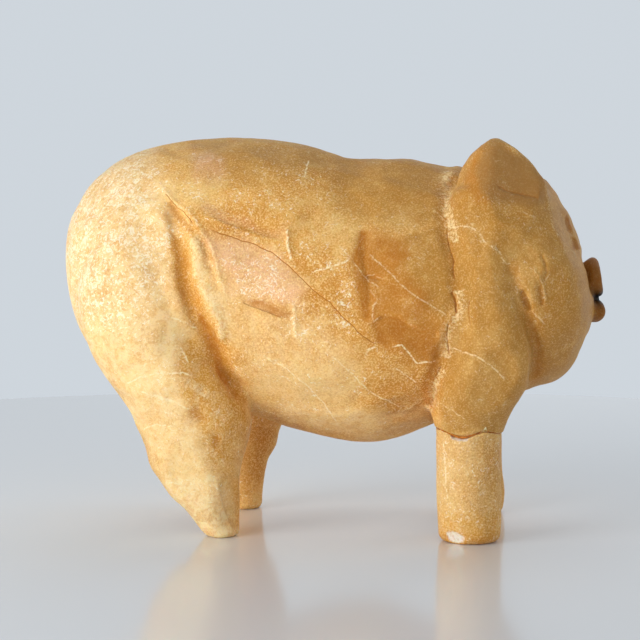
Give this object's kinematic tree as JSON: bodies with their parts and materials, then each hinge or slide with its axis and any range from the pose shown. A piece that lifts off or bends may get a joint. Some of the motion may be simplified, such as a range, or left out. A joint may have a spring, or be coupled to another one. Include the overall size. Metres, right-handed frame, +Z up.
{
  "type": "pig figurine",
  "caption": "Hand-carved honey-yellow stone pig, standing on short legs, with a snapped foreleg glued back on; an ornament for a shelf or table.",
  "frame": {"origin": "on the table under the middle of the figure, in the plane of the soles", "axes": "+X to the snout, +Y to the pig's left flank, +Z up"},
  "size_m": [0.15, 0.0756, 0.1082],
  "materials": {
    "honey_stone": "hand-rubbed, waxed, worn pale on high places",
    "leg_stone": "hand-rubbed, waxed, chipped at the toe",
    "amber_glue": "glossy set adhesive"
  },
  "bodies": {
    "root": {"carved_block": "honey_stone", "right_foreleg": "leg_stone", "foreleg_glue": "amber_glue"}
  },
  "joints": []
}
